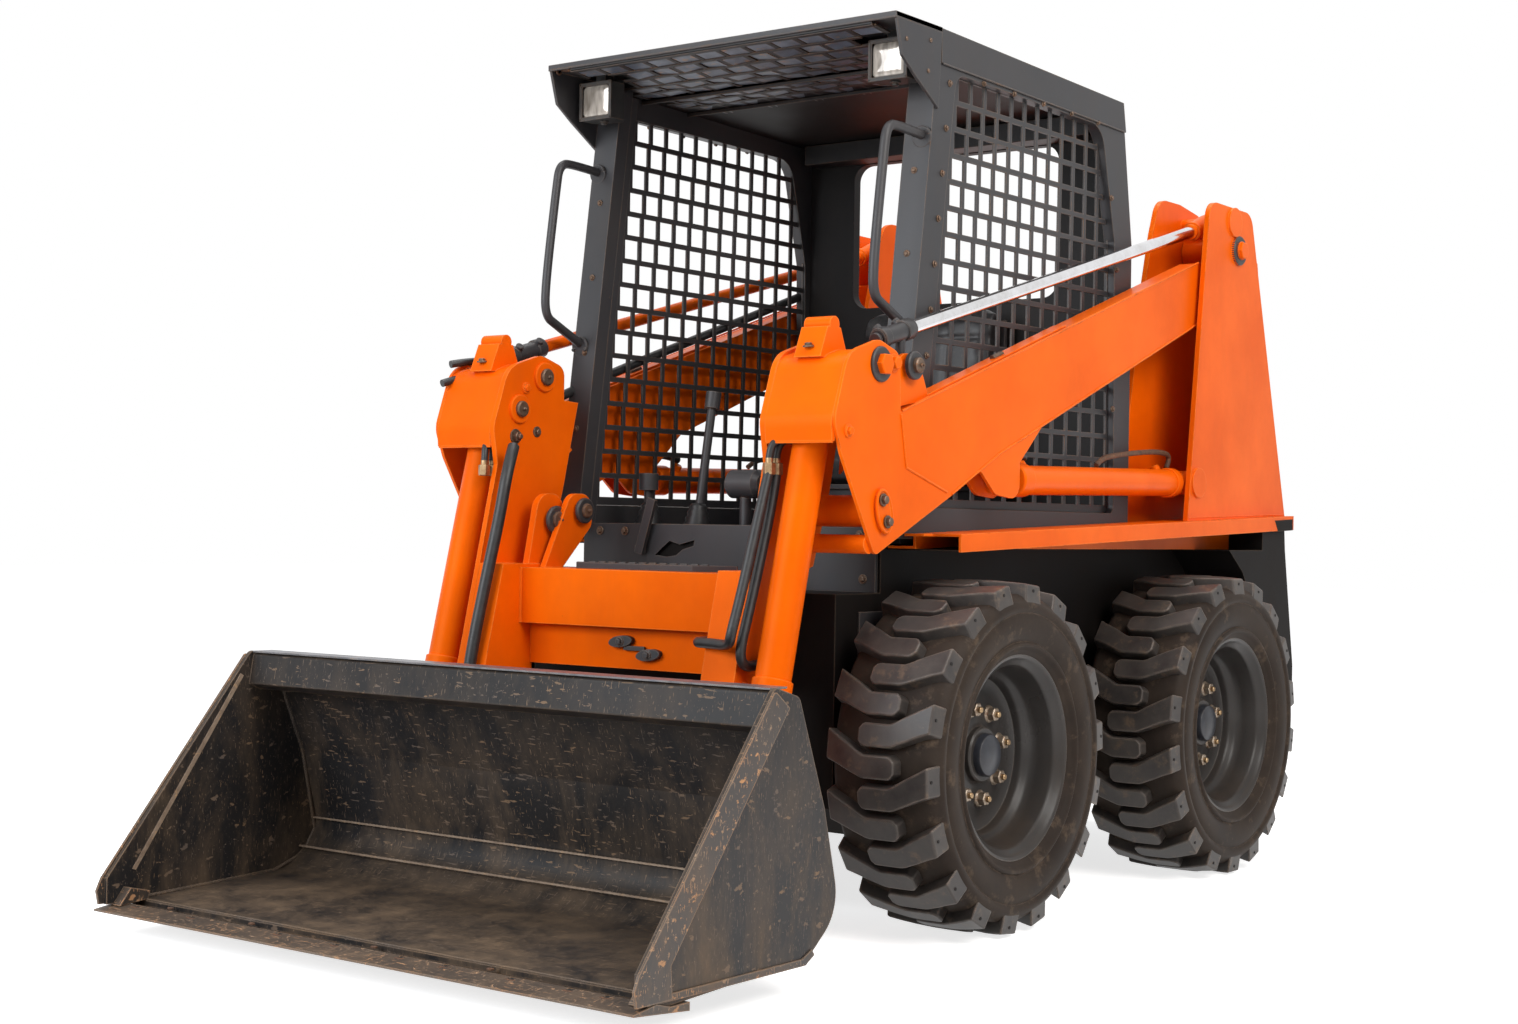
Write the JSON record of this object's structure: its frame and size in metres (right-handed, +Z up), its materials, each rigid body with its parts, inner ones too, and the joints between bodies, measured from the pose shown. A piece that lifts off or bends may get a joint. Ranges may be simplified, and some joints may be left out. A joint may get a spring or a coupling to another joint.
{
  "type": "skid steer loader",
  "caption": "Compact wheeled loader with a radial lift arm on rear towers, an open mesh cab, a tilting bucket, hydraulic cylinders and a hinged rear door.",
  "frame": {"origin": "on the ground, under the middle of the whole machine with its bucket", "axes": "+Z up, the bucket faces -Y, +X is the left-hand side of the machine"},
  "size_m": [1.5, 3.082, 2.014],
  "materials": {
    "orange_paint": "worn gloss",
    "black_paint": "worn satin",
    "bucket_steel": "scratched satin black",
    "worn_steel": "worn",
    "chrome_rod": "polished",
    "tyre_rubber": "matte",
    "rim_paint": "worn satin",
    "cast_engine": "rough",
    "seat_vinyl": "satin",
    "black_rubber": "matte",
    "lamp_housing": "matte"
  },
  "bodies": {
    "chassis": {"axle_stubs": "black_paint", "cab_floor": "black_paint", "cab_frame_left": "black_paint", "cab_frame_right": "black_paint", "cab_rear": "black_paint", "cab_roof": "black_paint", "cab_visor": "black_paint", "chassis_hull": "black_paint", "control_levers": "black_paint", "engine_block": "cast_engine", "engine_hood": "orange_paint", "fender_left": "orange_paint", "fender_right": "orange_paint", "front_sill": "black_paint", "grab_handles": "black_paint", "rear_bumper": "black_paint", "rear_corner_left": "black_paint", "rear_corner_right": "black_paint", "seat": "seat_vinyl", "side_screen_left": "black_paint", "side_screen_right": "black_paint", "tower_left": "orange_paint", "tower_right": "orange_paint", "work_lamps": "lamp_housing"},
    "loader_arm": {"boom_arm_left": "orange_paint", "boom_arm_right": "orange_paint", "boom_crossmember": "orange_paint", "boom_hoses": "black_rubber", "boom_step": "black_paint", "knuckle_left": "orange_paint", "knuckle_right": "orange_paint"},
    "bucket": {"bucket_lugs": "bucket_steel", "bucket_shell": "bucket_steel", "cutting_edge": "worn_steel", "side_cutters": "worn_steel"},
    "rear_door": {"rear_door": "orange_paint"},
    "lift_tube_left": {"lift_tube_left": "orange_paint"},
    "lift_rod_left": {"lift_rod_left": "chrome_rod"},
    "tilt_tube_left": {"tilt_tube_left": "orange_paint"},
    "tilt_rod_left": {"tilt_rod_left": "chrome_rod"},
    "level_tube_left": {"level_tube_left": "black_paint"},
    "level_rod_left": {"level_rod_left": "chrome_rod"},
    "lift_tube_right": {"lift_tube_right": "orange_paint"},
    "lift_rod_right": {"lift_rod_right": "chrome_rod"},
    "tilt_tube_right": {"tilt_tube_right": "orange_paint"},
    "tilt_rod_right": {"tilt_rod_right": "chrome_rod"},
    "level_tube_right": {"level_tube_right": "black_paint"},
    "level_rod_right": {"level_rod_right": "orange_paint"},
    "wheel_front_left": {"tyre_front_left": "tyre_rubber", "rim_front_left": "rim_paint"},
    "wheel_front_right": {"tyre_front_right": "tyre_rubber", "rim_front_right": "rim_paint"},
    "wheel_rear_left": {"tyre_rear_left": "tyre_rubber", "rim_rear_left": "rim_paint"},
    "wheel_rear_right": {"tyre_rear_right": "tyre_rubber", "rim_rear_right": "rim_paint"}
  },
  "joints": [
    {"name": "arm_lift", "type": "hinge", "parent": "chassis", "child": "loader_arm", "pos_m": [0, 1.143, 1.66], "axis": [-1, 0, 0], "range_deg": [0, 62]},
    {"name": "bucket_tilt", "type": "hinge", "parent": "loader_arm", "child": "bucket", "pos_m": [0, -0.729, 0.225], "axis": [1, 0, 0], "range_deg": [-25, 100]},
    {"name": "rear_door_swing", "type": "hinge", "parent": "chassis", "child": "rear_door", "pos_m": [0.404, 1.529, 0.79], "axis": [0, 0, -1], "range_deg": [0, 105]},
    {"name": "front_left_wheel_roll", "type": "hinge", "parent": "chassis", "child": "wheel_front_left", "pos_m": [0.614, -0.239, 0.388], "axis": [1, 0, 0], "continuous": true},
    {"name": "front_right_wheel_roll", "type": "hinge", "parent": "chassis", "child": "wheel_front_right", "pos_m": [-0.614, -0.239, 0.388], "axis": [1, 0, 0], "continuous": true},
    {"name": "rear_left_wheel_roll", "type": "hinge", "parent": "chassis", "child": "wheel_rear_left", "pos_m": [0.614, 0.871, 0.388], "axis": [1, 0, 0], "continuous": true},
    {"name": "rear_right_wheel_roll", "type": "hinge", "parent": "chassis", "child": "wheel_rear_right", "pos_m": [-0.614, 0.871, 0.388], "axis": [1, 0, 0], "continuous": true},
    {"name": "lift_cylinder_left_swing", "type": "hinge", "parent": "chassis", "child": "lift_tube_left", "pos_m": [0.548, 0.911, 1.018], "axis": [-1, 0, 0], "range_deg": [-1, 58.67]},
    {"name": "lift_rod_left_slide", "type": "slide", "parent": "lift_tube_left", "child": "lift_rod_left", "axis": [0, -0.9998, -0.0182], "range_m": [0, 0.7019]},
    {"name": "tilt_cylinder_left_swing", "type": "hinge", "parent": "loader_arm", "child": "tilt_tube_left", "pos_m": [0.474, -0.65, 1.151], "axis": [1, 0, 0], "range_deg": [-1.29, 3.67]},
    {"name": "tilt_rod_left_slide", "type": "slide", "parent": "tilt_tube_left", "child": "tilt_rod_left", "axis": [0, -0.2374, -0.9714], "range_m": [-0.0643, 0.2482]},
    {"name": "level_cylinder_left_swing", "type": "hinge", "parent": "loader_arm", "child": "level_tube_left", "pos_m": [0.543, -0.441, 1.236], "axis": [-1, 0, 0], "range_deg": [-0.5, 2]},
    {"name": "level_rod_left_slide", "type": "slide", "parent": "level_tube_left", "child": "level_rod_left", "axis": [0, 0.9649, 0.2628], "range_m": [-0.0754, 0.003]},
    {"name": "lift_cylinder_right_swing", "type": "hinge", "parent": "chassis", "child": "lift_tube_right", "pos_m": [-0.548, 0.911, 1.018], "axis": [-1, 0, 0], "range_deg": [-1, 58.67]},
    {"name": "lift_rod_right_slide", "type": "slide", "parent": "lift_tube_right", "child": "lift_rod_right", "axis": [0, -0.9998, -0.0182], "range_m": [0, 0.7019]},
    {"name": "tilt_cylinder_right_swing", "type": "hinge", "parent": "loader_arm", "child": "tilt_tube_right", "pos_m": [-0.474, -0.65, 1.151], "axis": [1, 0, 0], "range_deg": [-1.29, 3.67]},
    {"name": "tilt_rod_right_slide", "type": "slide", "parent": "tilt_tube_right", "child": "tilt_rod_right", "axis": [0, -0.2374, -0.9714], "range_m": [-0.0643, 0.2482]},
    {"name": "level_cylinder_right_swing", "type": "hinge", "parent": "loader_arm", "child": "level_tube_right", "pos_m": [-0.543, -0.441, 1.236], "axis": [-1, 0, 0], "range_deg": [-0.5, 2]},
    {"name": "level_rod_right_slide", "type": "slide", "parent": "level_tube_right", "child": "level_rod_right", "axis": [0, 0.9649, 0.2628], "range_m": [-0.0754, 0.003]}
  ],
  "couplings": [
    {"joint": "lift_cylinder_left_swing", "follows": "arm_lift", "ratio": 0.93018},
    {"joint": "lift_rod_left_slide", "follows": "arm_lift", "m_per_rad": 0.64406},
    {"joint": "tilt_cylinder_left_swing", "follows": "bucket_tilt", "ratio": 0.031651},
    {"joint": "tilt_rod_left_slide", "follows": "bucket_tilt", "m_per_rad": 0.14049},
    {"joint": "level_cylinder_left_swing", "follows": "arm_lift", "ratio": 0.024152},
    {"joint": "level_rod_left_slide", "follows": "arm_lift", "m_per_rad": -0.066895},
    {"joint": "lift_cylinder_right_swing", "follows": "arm_lift", "ratio": 0.93018},
    {"joint": "lift_rod_right_slide", "follows": "arm_lift", "m_per_rad": 0.64406},
    {"joint": "tilt_cylinder_right_swing", "follows": "bucket_tilt", "ratio": 0.031651},
    {"joint": "tilt_rod_right_slide", "follows": "bucket_tilt", "m_per_rad": 0.14049},
    {"joint": "level_cylinder_right_swing", "follows": "arm_lift", "ratio": 0.024152},
    {"joint": "level_rod_right_slide", "follows": "arm_lift", "m_per_rad": -0.066895}
  ]
}
